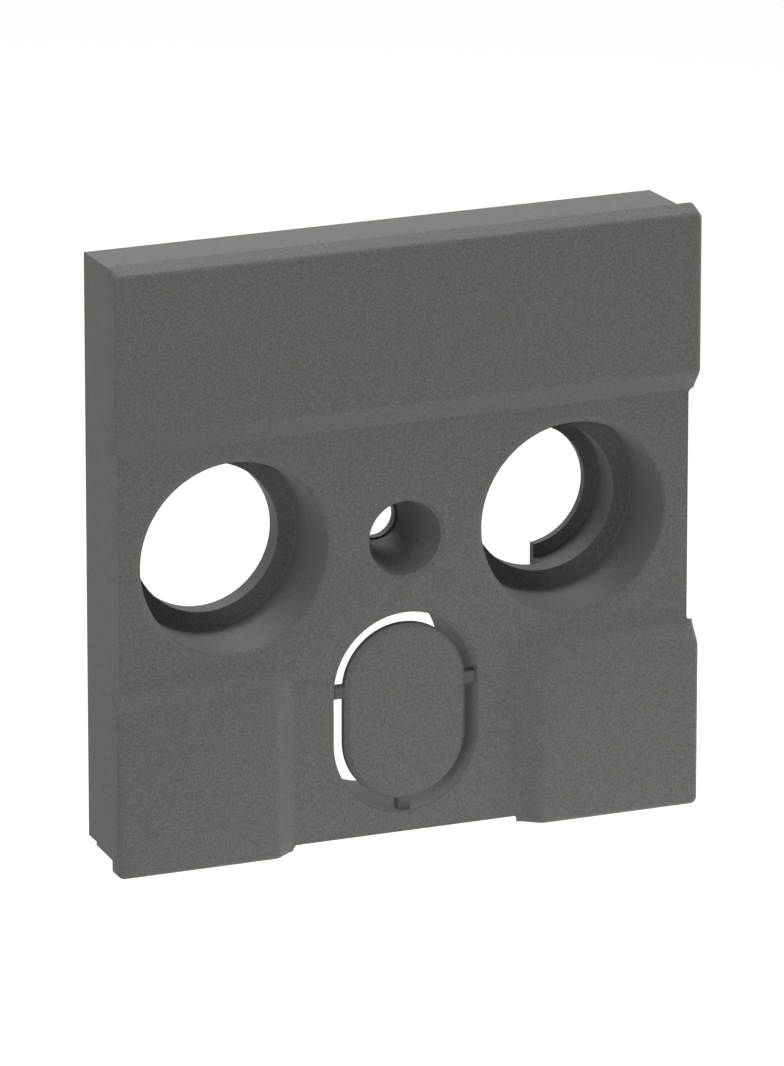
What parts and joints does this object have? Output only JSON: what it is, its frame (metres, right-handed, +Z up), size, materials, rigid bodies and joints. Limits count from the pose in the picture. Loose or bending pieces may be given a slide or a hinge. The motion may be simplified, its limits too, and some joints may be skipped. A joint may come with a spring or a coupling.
{
  "type": "tv outlet cover plate",
  "caption": "Square moulded cover plate for an aerial wall outlet, with connector cups, a sunk screw well, a knock-out and raised corner pads.",
  "frame": {"origin": "where the axis of the fixing screw leaves the rear end of the screw boss, which is the face that bears on the outlet", "axes": "plate upright as on the wall: +X to the right of a person facing it, +Z up, and -Y out of its face towards that person"},
  "size_m": [0.055, 0.0129, 0.055],
  "materials": {
    "moulded_plastic": "dark grey moulded thermoplastic with a fine matt spark-eroded texture"
  },
  "bodies": {
    "root": {"cover_plate": "moulded_plastic"}
  },
  "joints": []
}
